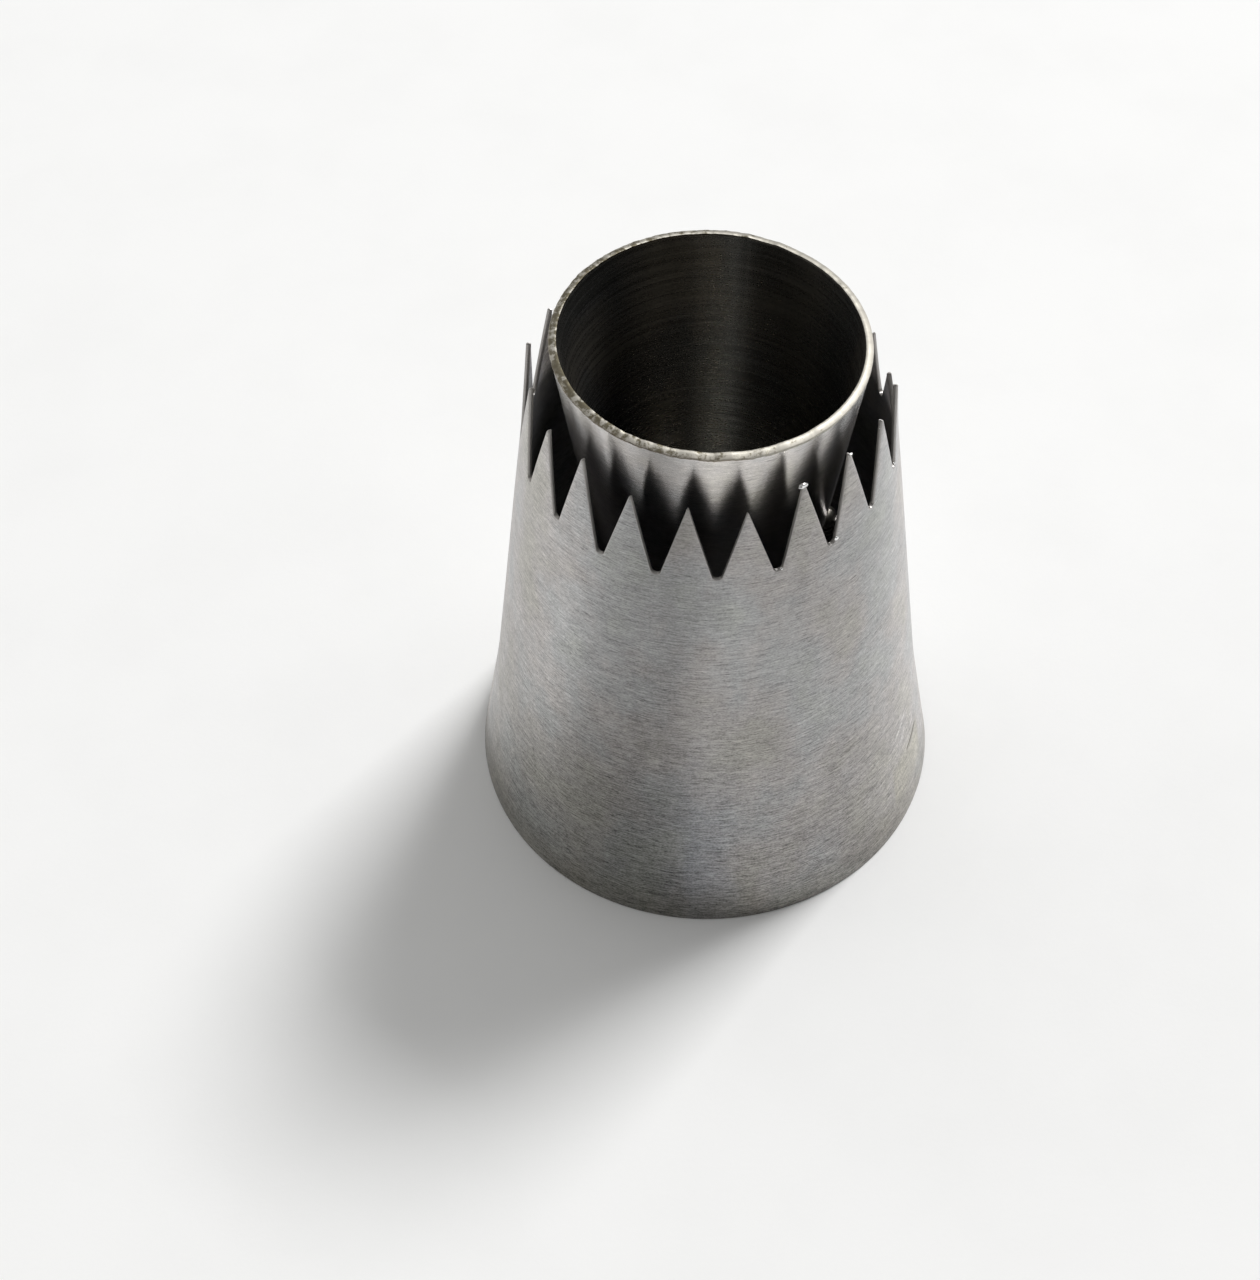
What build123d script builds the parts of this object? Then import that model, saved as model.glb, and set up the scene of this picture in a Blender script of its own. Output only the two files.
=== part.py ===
import os
from math import cos, hypot, radians, sin, tan

from build123d import *

# A ring nozzle for piping hollow star biscuits, standing on its wide mouth.
# Batter comes up through the mouth, parts round the closed nose of the inner cone
# and leaves between the inner cone and the row of teeth as a fluted ring.
# The origin is the centre of the mouth on the surface it stands on. +Z points up
# the nozzle and -Y is the side that faces the viewer. All sizes are millimetres,
# and places round the nozzle are degrees from the front, growing to the right.

# outer shell
shell_sheet = 0.4
mouth_radius = 21.5
spare_skirt = 1.0
skirt_height = 12.2
skirt_top_radius = 19.35
skirt_bend = 75.0
tip_height = 50.0
tip_ring_radius = 14.48
spare_crown = 1.0
mouth_edge_break = 0.12

# teeth, cut slightly out of square so that their row stands lower at the front. Some
# of them are short or tall, some gaps end high or low, and one tip leans to the front.
tooth_count = 20
root_height = 42.1
crown_slant = 1.0
half_tip = 0.2
tip_round = 0.12
half_root = 0.3
root_round = 0.32
short_teeth = {0: 1.25, 1: 0.15, 4: 0.6, 5: 4.0, 6: 3.1, 16: 0.3, 18: 0.9, 19: 0.9}
tall_teeth = {2: 0.2, 14: 0.4, 17: 0.3}
leaning_teeth = {6: 0.9}
high_roots = {2: 0.3, 3: 0.6, 4: 0.5, 6: -1.0, 17: 0.3}

# inner cone, welded in a little forward of the middle
cone_sheet = 0.6
cone_ahead = 0.5
rim_height = 53.1
rim_radius = 12.64
rim_slant = 1.8
spare_rim = 2.0
wall_foot_height = 24.0
wall_foot_radius = 8.71
nose_height = 13.2
nose_flat_radius = 1.6
nose_bend = 7.0
nose_round = 1.5

# bridges that carry the inner cone, and their weld beads
bridge_sheet = 0.8
bridge_width = 7.0
bridge_edge_round = 0.25
bridge_middle = 31.4
bridge_places = {"front_right": 72, "rear": 192, "front_left": 312}
bead = 0.75
bead_lean = 38
bead_root = 0.2

# What follows from the sizes above: the pitch of the teeth, and the slope of each
# wall as its change of radius for each millimetre of height.
pitch = 360 / tooth_count
skirt_slope = (skirt_top_radius - mouth_radius) / skirt_height
shell_slope = (tip_ring_radius - skirt_top_radius) / (tip_height - skirt_height)
cone_slope = (rim_radius - wall_foot_radius) / (rim_height - wall_foot_height)


def shell_radius(height):
    """Outer radius of the shell above its skirt."""
    return skirt_top_radius + (height - skirt_height) * shell_slope


def bore_radius(height):
    """Inner radius of the shell above its skirt."""
    return shell_radius(height) - shell_sheet * hypot(1, shell_slope)


def cone_radius(height):
    """Outer radius of the inner cone above its nose."""
    return rim_radius + (height - rim_height) * cone_slope


def crown_rise(place):
    """How far the slanted row of teeth stands above its middle height at a place."""
    return -tip_ring_radius * cos(radians(place)) * tan(radians(crown_slant))


def outward(place, height=0.0, radius=0.0, slope=0.0):
    """Plane that faces outward at a place round the nozzle, square to a wall of that slope."""
    turn = radians(place)
    ahead = Vector(sin(turn), -cos(turn), 0)
    sideways = Vector(cos(turn), sin(turn), 0)
    return Plane(
        origin=ahead * radius + Vector(0, 0, height),
        x_dir=sideways,
        z_dir=ahead - Vector(0, 0, slope),
    )


def wall_section(points, bends, sheet):
    """Section of a sheet wall, drawn along its outer face."""
    with BuildSketch(Plane.XZ) as section:
        with BuildLine():
            outer_face = FilletPolyline(*points, radius=bends)
            offset(outer_face, amount=sheet, side=Side.LEFT)
        make_face()
    return section.sketch


def tooth_tip(tooth):
    """Where the middle of a tooth's tip stands: how far it leans to the front, and its height."""
    height = tip_height + crown_rise((tooth + 0.5) * pitch)
    height += tall_teeth.get(tooth, 0) - short_teeth.get(tooth, 0)
    return leaning_teeth.get(tooth, 0), height


def tooth_gap(left_tooth, root, right_tooth):
    """Solid that the punch takes out between two teeth, on the side facing the viewer."""
    left_lean, left_height = tooth_tip(left_tooth)
    right_lean, right_height = tooth_tip(right_tooth)
    left_middle = -shell_radius(left_height) * sin(radians(pitch / 2)) - left_lean
    right_middle = shell_radius(right_height) * sin(radians(pitch / 2)) - right_lean
    above = rim_height
    with BuildPart() as gap:
        with BuildSketch(Plane.XZ):
            with BuildLine():
                flanks = FilletPolyline(
                    (left_middle - half_tip, left_height),
                    (left_middle + half_tip, left_height),
                    (-half_root, root),
                    (half_root, root),
                    (right_middle - half_tip, right_height),
                    (right_middle + half_tip, right_height),
                    radius=[tip_round, root_round, root_round, tip_round],
                )
                Polyline(
                    flanks @ 1,
                    (right_middle + half_tip, above),
                    (left_middle - half_tip, above),
                    flanks @ 0,
                )
            make_face()
        extrude(amount=mouth_radius)
    return gap.part


def save(piece, name):
    """Labels one finished piece and writes it to its own file."""
    piece.label = name
    export_step(piece, f"parts/{name}.step")


# The two walls, as sections to be spun about the axis.
shell_points = [
    (mouth_radius - spare_skirt * skirt_slope, -spare_skirt),
    (skirt_top_radius, skirt_height),
    (shell_radius(tip_height + spare_crown), tip_height + spare_crown),
]
cone_points = [
    (0, nose_height),
    (nose_flat_radius, nose_height),
    (wall_foot_radius, wall_foot_height),
    (cone_radius(rim_height + spare_rim), rim_height + spare_rim),
]
shell_section = wall_section(shell_points, [skirt_bend], shell_sheet)
cone_section = wall_section(cone_points, [nose_round, nose_bend], cone_sheet)

# Gap 0 faces the front, and tooth 0 stands to the right of it.
with BuildPart() as outer_shell:
    revolve(shell_section, axis=Axis.Z)
    split(bisect_by=Plane.XY)
    for number in range(tooth_count):
        place = number * pitch
        root = root_height + crown_rise(place) + high_roots.get(number, 0)
        gap = tooth_gap((number - 1) % tooth_count, root, number)
        add(gap.rotate(Axis.Z, place), mode=Mode.SUBTRACT)
    fillet(outer_shell.edges().group_by(Axis.Z)[0], mouth_edge_break)

# The cone is spun a little too tall, and its rim is cut slightly out of square.
rim_plane = Plane(
    origin=(0, 0, rim_height),
    z_dir=(sin(radians(rim_slant)), 0, cos(radians(rim_slant))),
)
with BuildPart() as inner_cone:
    revolve(cone_section, axis=Axis.Z)
    split(bisect_by=rim_plane, keep=Keep.BOTTOM)

# The space between the two straight walls, which the bridges and welds fill from wall to wall.
space_foot = bridge_middle - bridge_width
space_head = bridge_middle + bridge_width
with BuildPart() as wall_space:
    with Locations((0, 0, bridge_middle)):
        Cone(bore_radius(space_foot), bore_radius(space_head), 2 * bridge_width)
    with Locations((0, -cone_ahead, bridge_middle)):
        Cone(cone_radius(space_foot), cone_radius(space_head), 2 * bridge_width, mode=Mode.SUBTRACT)


def bridge(place):
    """Flat strip that stands on edge between the two walls."""
    with BuildPart() as strip:
        with BuildSketch(outward(place, bridge_middle)):
            RectangleRounded(bridge_sheet, bridge_width, bridge_edge_round)
        extrude(amount=mouth_radius)
        add(wall_space.part, mode=Mode.INTERSECT)
    return strip.part


def weld(strip, wall_plane):
    """Bead that runs all round one end of a strip, leaning from the wall onto the strip."""
    with BuildPart() as ring:
        with BuildSketch(wall_plane.offset(-bead_root)):
            SlotOverall(bridge_width + 2 * bead, bridge_sheet + 2 * bead, rotation=90)
        extrude(amount=bead_root + bead, taper=bead_lean)
        add(wall_space.part, mode=Mode.INTERSECT)
        add(strip, mode=Mode.SUBTRACT)
    return ring.part


os.makedirs("parts", exist_ok=True)
save(outer_shell.part, "outer_shell")
save(Pos(0, -cone_ahead, 0) * inner_cone.part, "inner_cone")
for name, place in bridge_places.items():
    strip = bridge(place)
    cone_reach = cone_radius(bridge_middle) + cone_ahead * cos(radians(place))
    cone_wall = outward(place, bridge_middle, cone_reach, cone_slope)
    bore_wall = outward(place, bridge_middle, bore_radius(bridge_middle), shell_slope)
    save(strip, f"bridge_{name}")
    save(weld(strip, cone_wall), f"weld_{name}_inner")
    save(weld(strip, -bore_wall), f"weld_{name}_outer")
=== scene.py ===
import math

import bmesh
import bpy
from mathutils import Matrix, Vector, noise


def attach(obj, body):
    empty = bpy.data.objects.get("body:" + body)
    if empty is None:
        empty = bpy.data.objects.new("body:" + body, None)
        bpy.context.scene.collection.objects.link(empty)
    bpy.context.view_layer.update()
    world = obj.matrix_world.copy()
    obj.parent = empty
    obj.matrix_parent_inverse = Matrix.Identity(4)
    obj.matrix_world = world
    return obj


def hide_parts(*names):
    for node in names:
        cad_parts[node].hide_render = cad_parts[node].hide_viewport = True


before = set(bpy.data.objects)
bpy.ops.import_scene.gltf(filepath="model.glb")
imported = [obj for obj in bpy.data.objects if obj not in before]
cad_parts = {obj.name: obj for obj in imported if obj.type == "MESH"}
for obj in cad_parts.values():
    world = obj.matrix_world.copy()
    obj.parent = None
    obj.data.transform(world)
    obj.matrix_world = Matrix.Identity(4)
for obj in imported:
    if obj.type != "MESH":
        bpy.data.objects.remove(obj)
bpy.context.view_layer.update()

mm = 0.001


# A wire is one output socket. Sums on it add Math nodes.
class Wire:
    def __init__(self, recipe, socket):
        self.recipe = recipe
        self.socket = socket

    def sum(self, operation, first, second=0.0):
        return self.recipe.add("ShaderNodeMath", {"operation": operation}, {0: first, 1: second})

    def __add__(self, other):
        return self.sum("ADD", self, other)

    def __radd__(self, other):
        return self.sum("ADD", other, self)

    def __sub__(self, other):
        return self.sum("SUBTRACT", self, other)

    def __rsub__(self, other):
        return self.sum("SUBTRACT", other, self)

    def __mul__(self, other):
        return self.sum("MULTIPLY", self, other)

    def __rmul__(self, other):
        return self.sum("MULTIPLY", other, self)

    def __truediv__(self, other):
        return self.sum("DIVIDE", self, other)

    def __pow__(self, other):
        return self.sum("POWER", self, other)

    # 0 below the first level, 1 above the second, and smooth between them
    def between(self, low, high):
        settings = {"interpolation_type": "SMOOTHSTEP"}
        sockets = {"Value": self, "From Min": low, "From Max": high}
        return self.recipe.add("ShaderNodeMapRange", settings, sockets)

    # 0 before the rise, 1 from its end to the start of the fall, and 0 after that
    def within(self, rise, fall):
        return self.between(*rise) * (1.0 - self.between(*fall))


# A recipe is one node tree, of a material or of the world.
class Recipe:
    def __init__(self, tree):
        self.tree = tree
        self.tree.nodes.clear()

    def add(self, kind, settings=None, sockets=None, out=0):
        node = self.tree.nodes.new(kind)
        for key, value in (settings or {}).items():
            if key == "stops":
                setStops(node.color_ramp, value)
            else:
                setattr(node, key, value)
        for key, value in (sockets or {}).items():
            if isinstance(value, Wire):
                self.tree.links.new(value.socket, node.inputs[key])
            else:
                node.inputs[key].default_value = value
        return Wire(self, node.outputs[out] if node.outputs else None)

    def place(self):
        return self.add("ShaderNodeTexCoord", out="Object")

    # one coordinate of the place, in metres: 0 to the right, 1 to the back, 2 up
    def along(self, axis):
        return self.add("ShaderNodeSeparateXYZ", None, {0: self.place()}, out=axis)

    # share of a whole turn round the nozzle, from the back over the left side: 0.5 at the front
    def bearing(self):
        ahead = 0.0 - self.along(1)
        turn = self.add("ShaderNodeMath", {"operation": "ARCTAN2"}, {0: self.along(0), 1: ahead})
        return turn * (0.5 / math.pi) + 0.5

    # noise drawn out along any axis whose stretch is small; stretches are cells per metre
    def grain(self, stretch, detail=3.0, rough=0.55, place=None):
        sockets = {0: place or self.place(), 1: stretch}
        drawn = self.add("ShaderNodeVectorMath", {"operation": "MULTIPLY"}, sockets)
        sockets = {"Vector": drawn, "Scale": 1.0, "Detail": detail, "Roughness": rough}
        return self.add("ShaderNodeTexNoise", None, sockets)

    def blend(self, factor, first, second):
        settings = {"data_type": "RGBA", "blend_type": "MIX"}
        return self.add("ShaderNodeMix", settings, {0: factor, 6: first, 7: second}, out=2)

    def tint(self, color, level):
        return self.add("ShaderNodeVectorMath", {"operation": "SCALE"}, {0: color, "Scale": level})

    def painted(self, name):
        return self.add("ShaderNodeAttribute", {"attribute_name": name}, out="Fac")

    # color at a position along a row of (position, color) stops
    def ramp(self, position, stops):
        return self.add("ShaderNodeValToRGB", {"stops": stops}, {0: position})

    def bump(self, strength, depth, height):
        sockets = {"Strength": strength, "Distance": depth, "Height": height}
        return self.add("ShaderNodeBump", None, sockets)

    def surface(self, sockets):
        shader = self.add("ShaderNodeBsdfPrincipled", None, sockets)
        self.add("ShaderNodeOutputMaterial", None, {"Surface": shader})


def setStops(ramp, stops):
    while len(ramp.elements) < len(stops):
        ramp.elements.new(0.5)
    for element, (position, color) in zip(ramp.elements, stops):
        element.position = position
        element.color = color


def shade(red, green, blue):
    return (red, green, blue, 1.0)


def gray(level):
    return shade(level, level, level)


def newMaterial(name):
    material = bpy.data.materials.new(name)
    material.use_nodes = True
    return material, Recipe(material.node_tree)


# Camera, lamp and floor

cameraSetup = {
    "place": (-7.01 * mm, -117.47 * mm, 166.90 * mm),
    "turn": 0.4,            # degrees round the nozzle, to the right
    "tiltDown": 52.383,     # degrees below the horizon
    "roll": -1.767,         # degrees
    "imageHeight": 1280,
    "focalPixels": 2081.45,
    "sensor": 36.0,
    "nearest": 0.005,
    "farthest": 20.0,
}


def addCamera(setup):
    data = bpy.data.cameras.new("photoCamera")
    camera = bpy.data.objects.new("photoCamera", data)
    bpy.context.scene.collection.objects.link(camera)
    data.sensor_fit = "AUTO"
    data.sensor_width = setup["sensor"]
    data.lens = setup["sensor"] * setup["focalPixels"] / setup["imageHeight"]
    data.clip_start = setup["nearest"]
    data.clip_end = setup["farthest"]
    tilt = math.radians(setup["tiltDown"])
    roll = math.radians(setup["roll"])
    forward = Vector((0, math.cos(tilt), -math.sin(tilt)))
    level = Vector((1, 0, 0))
    upward = level.cross(forward)
    across = math.cos(roll) * level + math.sin(roll) * upward
    upright = math.cos(roll) * upward - math.sin(roll) * level
    facing = Matrix((across, upright, -forward)).transposed().to_4x4()
    turn = Matrix.Rotation(math.radians(setup["turn"]), 4, "Z")
    camera.matrix_world = turn @ Matrix.Translation(setup["place"]) @ facing
    bpy.context.scene.camera = camera


windowSetup = {
    "aim": (0, 0, 0.03),
    "turn": 48,             # degrees from +X towards +Y
    "height": 53,           # degrees above the horizon
    "distance": 3.0,
    "wide": 0.80,
    "tall": 0.84,
    "power": 68.0,
}


# An area lamp that faces its aim.
def addLamp(name, setup):
    data = bpy.data.lights.new(name, "AREA")
    lamp = bpy.data.objects.new(name, data)
    bpy.context.scene.collection.objects.link(lamp)
    data.shape = "RECTANGLE"
    data.size = setup["wide"]
    data.size_y = setup["tall"]
    data.energy = setup["power"]
    turn = math.radians(setup["turn"])
    height = math.radians(setup["height"])
    away = Vector((
        math.cos(turn) * math.cos(height),
        math.sin(turn) * math.cos(height),
        math.sin(height),
    ))
    lamp.location = Vector(setup["aim"]) + setup["distance"] * away
    lamp.rotation_euler = away.to_track_quat("Z", "Y").to_euler()


worldSetup = {
    "low": gray(0.26),
    "middle": shade(0.40, 0.40, 0.395),
    "middleAt": 0.35,               # share of the way up the dome
    "high": shade(0.50, 0.50, 0.495),
    "side": shade(0.86, 0.86, 0.85),
    "sideFaces": (-0.83, 0.55, 0.0),
    "sideEdge": (0.35, 0.95),
    "viewer": gray(0.05),
    "viewerEdge": (0.20, 0.85),
    "backdrop": shade(0.93, 0.935, 0.92),
}


# The room: a soft grey dome, bright at the left rear and dark where the viewer stands.
# The camera sees it as a pale backdrop.
def addWorld(setup):
    world = bpy.data.worlds.new("room")
    bpy.context.scene.world = world
    world.use_nodes = True
    recipe = Recipe(world.node_tree)
    direction = recipe.add("ShaderNodeTexCoord", out="Generated")
    height = recipe.add("ShaderNodeSeparateXYZ", None, {0: direction}, out=2)
    stops = [(0.0, setup["low"]), (setup["middleAt"], setup["middle"]), (1.0, setup["high"])]
    dome = recipe.ramp(height, stops)
    depth = recipe.add("ShaderNodeSeparateXYZ", None, {0: direction}, out=1)
    sockets = {0: direction, 1: setup["sideFaces"]}
    side = recipe.add("ShaderNodeVectorMath", {"operation": "DOT_PRODUCT"}, sockets, out="Value")
    filled = recipe.blend(side.between(*setup["sideEdge"]), dome, setup["side"])
    ahead = (0.0 - depth).between(*setup["viewerEdge"])
    lit = recipe.blend(ahead, filled, setup["viewer"])
    seen = recipe.add("ShaderNodeLightPath", out="Is Camera Ray")
    color = recipe.blend(seen, lit, setup["backdrop"])
    background = recipe.add("ShaderNodeBackground", None, {"Color": color, "Strength": 1.0})
    recipe.add("ShaderNodeOutputWorld", None, {"Surface": background})


floorSetup = {
    "reach": 3.0,
    "color": shade(0.915, 0.915, 0.91),
    "fleck": shade(0.895, 0.895, 0.89),
    "fleckGrain": (60.0, 60.0, 60.0),
    "fleckEdge": (0.35, 0.75),
    "fibreGrain": (2500.0, 2500.0, 2500.0),
    "relief": 0.08,
    "reliefDepth": 0.0001,
    "roughness": 0.9,
    "gloss": 0.2,
}


def addFloor(setup):
    reach = setup["reach"]
    corners = [(-reach, -reach, 0), (reach, -reach, 0), (reach, reach, 0), (-reach, reach, 0)]
    data = bpy.data.meshes.new("paperFloor")
    data.from_pydata(corners, [], [(0, 1, 2, 3)])
    floor = bpy.data.objects.new("paperFloor", data)
    bpy.context.scene.collection.objects.link(floor)
    material, recipe = newMaterial("paper")
    mottle = recipe.grain(setup["fleckGrain"], detail=4.0).between(*setup["fleckEdge"])
    fibre = recipe.grain(setup["fibreGrain"], detail=2.0)
    recipe.surface({
        "Base Color": recipe.blend(mottle, setup["color"], setup["fleck"]),
        "Roughness": setup["roughness"],
        "Specular IOR Level": setup["gloss"],
        "Normal": recipe.bump(setup["relief"], setup["reliefDepth"], fibre),
    })
    data.materials.append(material)


addCamera(cameraSetup)
addLamp("window", windowSetup)
addWorld(worldSetup)
addFloor(floorSetup)
print("camera, lamp and floor are in place")


# Steel finishes

# What all spun steels share. A grain is cells per metre along X, Y and Z. An edge is the
# two levels between which a mask rises.
spunSetup = {
    "driftGrain": (210.0, 210.0, 60.0),
    "mottleGrain": (480.0, 480.0, 620.0),
    "cloudGrain": (95.0, 95.0, 70.0),
    "cloudStops": (0.34, 0.44, 0.54, 0.64),     # for the green, cool, rosy and warm tones
    "hazeGrain": (55.0, 55.0, 22.0),
    "nickGrain": (640.0, 640.0, 8200.0),
    "nickEdge": (0.61, 0.70),
    "glintGrain": (760.0, 760.0, 9400.0),
    "glintEdge": (0.62, 0.72),
    "hairShare": 0.35,
    "scratchShare": 0.30,
    "speckShare": 0.35,
    "calm": 0.72,               # strength of the streaks high up the wall
    "calmEdge": (0.002, 0.042),
    "streakWear": 0.3,
    "cloudWear": 0.16,
    "cutRoughness": 0.12,       # how much rougher a cut edge is
    "cutRelief": 0.85,          # how much of the relief a cut edge loses
    "reliefDepth": 0.00004,
}


# Spun steel: short scratches run round the axis, a little out of true, over cloudy patches.
def spunSteel(name, look, shared=spunSetup):
    material, recipe = newMaterial(name)
    drift = (recipe.grain(shared["driftGrain"], detail=2.0) - 0.5) * look["drift"]
    askew = recipe.add("ShaderNodeCombineXYZ", None, {2: drift})
    askew = recipe.add("ShaderNodeVectorMath", {"operation": "ADD"}, {0: recipe.place(), 1: askew})
    fine = {"detail": 2.0, "rough": 0.6}
    hair = recipe.grain(look["hair"], place=askew, **fine)
    scratch = recipe.grain(look["scratch"], place=askew, **fine)
    speck = recipe.grain(look["speck"], **fine)
    mottle = recipe.grain(shared["mottleGrain"], detail=3.0, rough=0.6)
    cloud = recipe.grain(shared["cloudGrain"], detail=4.0, rough=0.6)
    haze = recipe.grain(shared["hazeGrain"], detail=3.0, rough=0.5)
    nick = recipe.grain(shared["nickGrain"], place=askew, **fine).between(*shared["nickEdge"])
    glint = recipe.grain(shared["glintGrain"], place=askew, **fine).between(*shared["glintEdge"])
    trim = recipe.painted("trim")
    streak = hair * shared["hairShare"] + scratch * shared["scratchShare"]
    streak = streak + speck * shared["speckShare"]
    tones = (look["green"], look["cool"], look["rosy"], look["warm"])
    patch = recipe.ramp(cloud, list(zip(shared["cloudStops"], tones)))
    # Here each look's marks of use and its painted light and shade are laid on the patches.
    if look["marksAndPaintedLight"]:
        patch = look["marksAndPaintedLight"](recipe, patch)
    high = recipe.along(2).between(*shared["calmEdge"])
    deeper = shared["calm"] + (1.0 - high) * look["deeper"]
    shading = (streak - 0.5) * look["streaks"] * deeper + (haze - 0.5) * look["bands"]
    shading = shading + (mottle - 0.5) * look["mottle"]
    level = 1.0 + shading + (glint - nick) * look["nicks"]
    rawCut = look["rawCut"]
    if look["torn"]:
        rawCut = look["torn"](recipe, rawCut)
    color = recipe.blend(trim * look["trimming"], recipe.tint(patch, level), rawCut)
    wear = (streak - 0.5) * shared["streakWear"] + (cloud - 0.5) * shared["cloudWear"]
    rough = look["roughness"] + wear * look["wear"] + trim * shared["cutRoughness"]
    metal = 1.0
    if look["nonMetal"]:
        metal = 1.0 - look["nonMetal"](recipe)
    raised = 0.5 + (streak - 0.5) * (1.0 - trim * shared["cutRelief"])
    recipe.surface({
        "Base Color": color,
        "Metallic": metal,
        "Roughness": rough,
        "Anisotropic": look["anisotropy"],
        "Anisotropic Rotation": 0.25,       # a quarter turn: the streaks run round the axis
        "Normal": recipe.bump(look["relief"], shared["reliefDepth"], raised),
    })
    return material


# Marks of use on the shell. A span is where the mark starts and ends, as shares of a turn.
# Its height is at the start, its climb is for each whole turn, and half is half its width,
# all in metres.
wallMarks = {
    "dent": {
        "span": (0.680, 0.708),
        "height": 0.0076,
        "climb": 0.020,
        "half": 0.00024,
        "color": shade(0.06, 0.045, 0.03),
        "share": 1.0,
    },
    "bruise": {
        "span": (0.655, 0.712),
        "height": 0.0056,
        "climb": 0.0,
        "half": 0.0030,
        "color": shade(0.40, 0.385, 0.29),
        "share": 0.35,
    },
    "scratch": {
        "span": (0.663, 0.687),
        "height": 0.0111,
        "climb": 0.058,
        "half": 0.00010,
        "color": shade(0.85, 0.85, 0.82),
        "share": 0.6,
    },
    "graze": {
        "span": (0.668, 0.690),
        "height": 0.0098,
        "climb": 0.050,
        "half": 0.00008,
        "color": shade(0.80, 0.80, 0.77),
        "share": 0.4,
    },
    "fleck": {
        "span": (0.634, 0.643),
        "height": 0.0116,
        "climb": 0.0,
        "half": 0.00010,
        "color": shade(0.80, 0.80, 0.78),
        "share": 0.5,
    },
}
markSetup = {
    "fade": 0.004,          # share of a turn over which each end fades
    "side": (0.4, 1.2),     # half widths off the middle between which each side fades
}


def markMask(recipe, mark, setup=markSetup):
    start, end = mark["span"]
    fade = setup["fade"]
    bearing = recipe.bearing()
    lengthwise = bearing.within((start, start + fade), (end - fade, end))
    middle = (bearing - start) * mark["climb"] + mark["height"]
    off = recipe.add("ShaderNodeMath", {"operation": "ABSOLUTE"}, {0: recipe.along(2) - middle})
    solid, gone = setup["side"]
    inside = 1.0 - off.between(solid * mark["half"], gone * mark["half"])
    return lengthwise * inside * mark["share"]


# The dent is a dark line that isn't bare metal.
def shellDentMask(recipe):
    return markMask(recipe, wallMarks["dent"])


# Painted light on the shell: painted reflections in cloudy dull and bright bands that run
# up the wall, each at its share of a turn, painted shade low down at the front, a brownish
# painted shadow low at the front left, a bluish one low in the middle of the front, and
# painted shade round the foot.
shellPaintedLight = {
    "waverGrain": (120.0, 120.0, 60.0),
    "waver": 0.07,
    "bands": [
        (0.020, 0.84),
        (0.300, 0.88),
        (0.370, 0.91),
        (0.422, 0.72),
        (0.461, 0.56),
        (0.485, 0.65),
        (0.503, 0.73),
        (0.540, 0.70),
        (0.580, 0.74),
        (0.640, 0.76),
        (0.690, 0.86),
    ],
    "bandLevel": 1.2,
    "low": (0.003, 0.030),      # heights in metres between which the low shadow fades out
    "front": ((0.38, 0.44), (0.60, 0.68)),
    "frontShade": 0.17,
    "blue": ((0.465, 0.485), (0.505, 0.53)),
    "blueShadeColor": shade(0.25, 0.27, 0.31),
    "blueShadeShare": 0.35,
    "left": ((0.22, 0.34), (0.40, 0.47)),
    "leftShadeColor": shade(0.165, 0.17, 0.145),
    "leftShadeShare": 0.46,
    "foot": (0.0005, 0.0055),
    "footShadeColor": shade(0.20, 0.185, 0.15),
    "footShadeShare": 0.45,
}


def shellPaintedLightAndMarks(recipe, patch, setup=shellPaintedLight):
    waver = recipe.grain(setup["waverGrain"], detail=3.0, rough=0.6) - 0.5
    bearing = recipe.bearing() + waver * setup["waver"]
    # Painted reflections in bands up the wall, then painted shade low at the front and front left
    stops = [(share, gray(level)) for share, level in setup["bands"]]
    reflectionBands = recipe.ramp(bearing, stops) * setup["bandLevel"]
    low = 1.0 - recipe.along(2).between(*setup["low"])
    front = bearing.within(*setup["front"])
    left = bearing.within(*setup["left"])
    patch = recipe.tint(patch, reflectionBands * (1.0 - low * front * setup["frontShade"]))
    blueShaded = low * bearing.within(*setup["blue"])
    patch = recipe.blend(blueShaded * setup["blueShadeShare"], patch, setup["blueShadeColor"])
    patch = recipe.blend(left * low * setup["leftShadeShare"], patch, setup["leftShadeColor"])
    for mark in wallMarks.values():
        patch = recipe.blend(markMask(recipe, mark), patch, mark["color"])
    # Painted shade round the foot, next to the floor
    foot = 1.0 - recipe.along(2).between(*setup["foot"])
    return recipe.blend(foot * setup["footShadeShare"], patch, setup["footShadeColor"])


# Painted light in the bore: the inner faces of the teeth at the rear are painted brighter.
paintedBoreLightSetup = {"high": (0.0415, 0.0435), "rear": (-0.004, 0.0), "gain": 2.2}


def paintedBoreLight(recipe, patch, setup=paintedBoreLightSetup):
    high = recipe.along(2).between(*setup["high"])
    rear = recipe.along(1).between(*setup["rear"])
    return recipe.tint(patch, 1.0 + high * rear * setup["gain"])


# Painted light in the cup: painted shade towards both sides, and a painted highlight in a band up
# the middle.
cupShadeAndHighlight = {
    "level": 0.98,
    "right": (0.0012, 0.008),
    "rightLoss": 0.52,
    "left": (0.003, 0.0085),
    "leftLoss": 0.62,
    "highlight": ((-0.0014, -0.0002), (0.0007, 0.0020)),
    "highlightGain": 0.22,
}


def paintedCupLight(recipe, patch, setup=cupShadeAndHighlight):
    across = recipe.along(0)
    right = across.between(*setup["right"])
    left = (0.0 - across).between(*setup["left"])
    level = setup["level"] + across.within(*setup["highlight"]) * setup["highlightGain"]
    return recipe.tint(patch, level - left * setup["leftLoss"] - right * setup["rightLoss"])


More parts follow.
